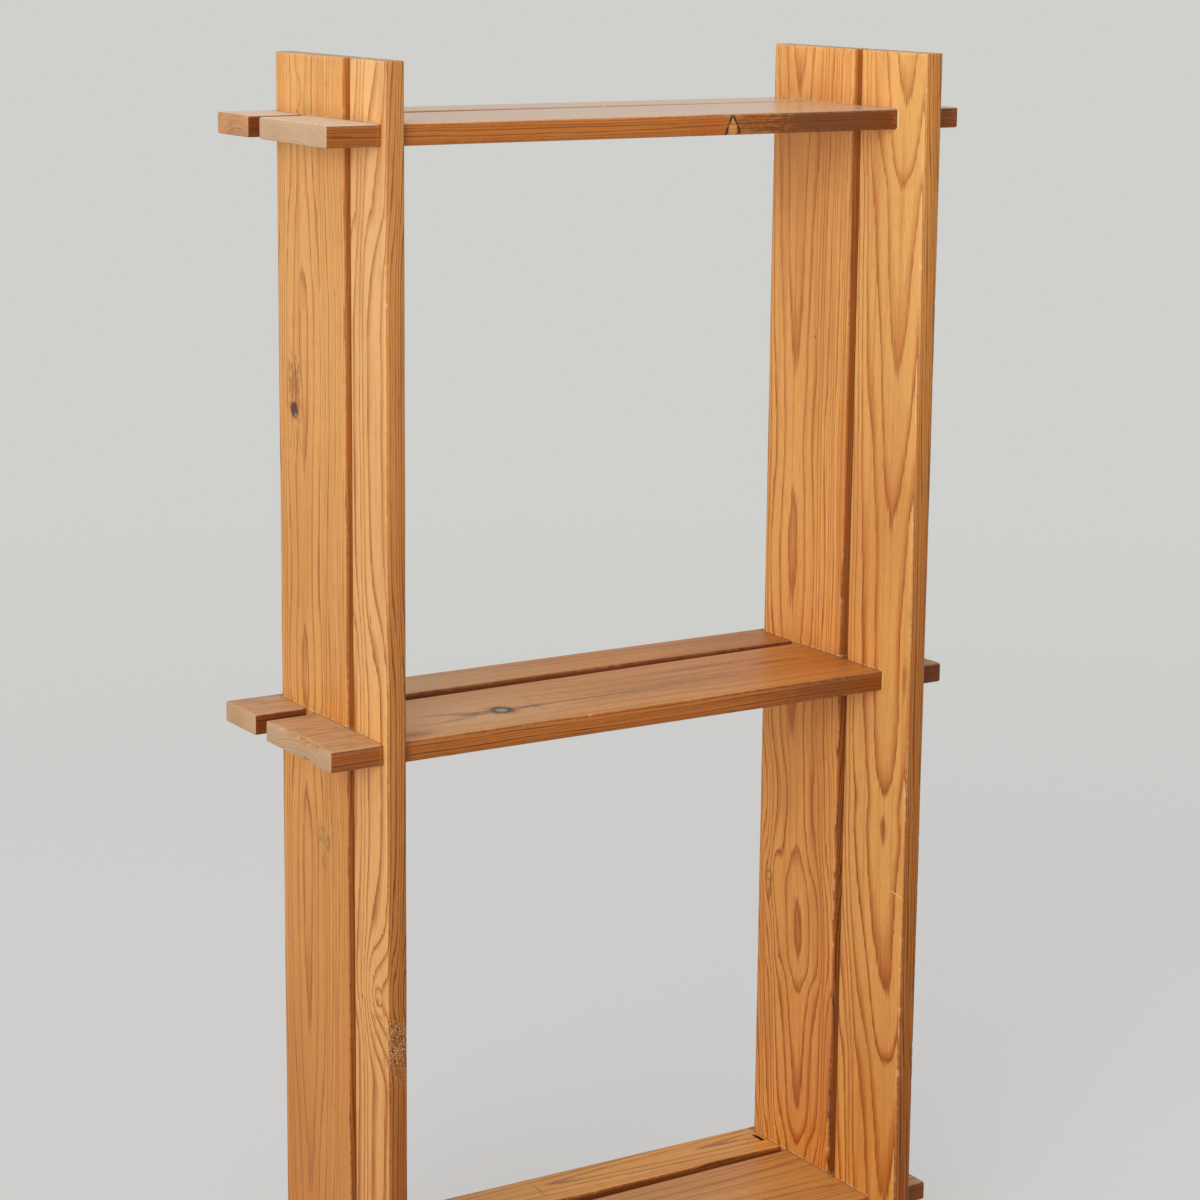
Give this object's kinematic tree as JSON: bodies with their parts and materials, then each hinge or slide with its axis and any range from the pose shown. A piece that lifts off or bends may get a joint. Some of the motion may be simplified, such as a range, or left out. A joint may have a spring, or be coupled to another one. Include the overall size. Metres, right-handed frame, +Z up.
{
  "type": "shelving unit",
  "caption": "Free-standing pine shelf of paired uprights and paired shelf boards, halved into each other, with tabs that stand out past the sides.",
  "frame": {"origin": "on the floor, under the middle of the shelf's box", "axes": "+Z up, +X to the right and -Y to the front, as seen by someone who faces the shelf"},
  "size_m": [0.76, 0.288, 1.36],
  "materials": {
    "uprights": "oiled pine, honey coloured, worn arrises",
    "shelves": "oiled pine, browned and dry on top, pale end grain"
  },
  "bodies": {
    "root": {"left_front_upright": "uprights", "left_back_upright": "uprights", "right_front_upright": "uprights", "right_back_upright": "uprights", "bottom_shelf_front_board": "shelves", "bottom_shelf_rear_board": "shelves", "middle_shelf_front_board": "shelves", "middle_shelf_rear_board": "shelves", "top_shelf_front_board": "shelves", "top_shelf_rear_board": "shelves"}
  },
  "joints": []
}
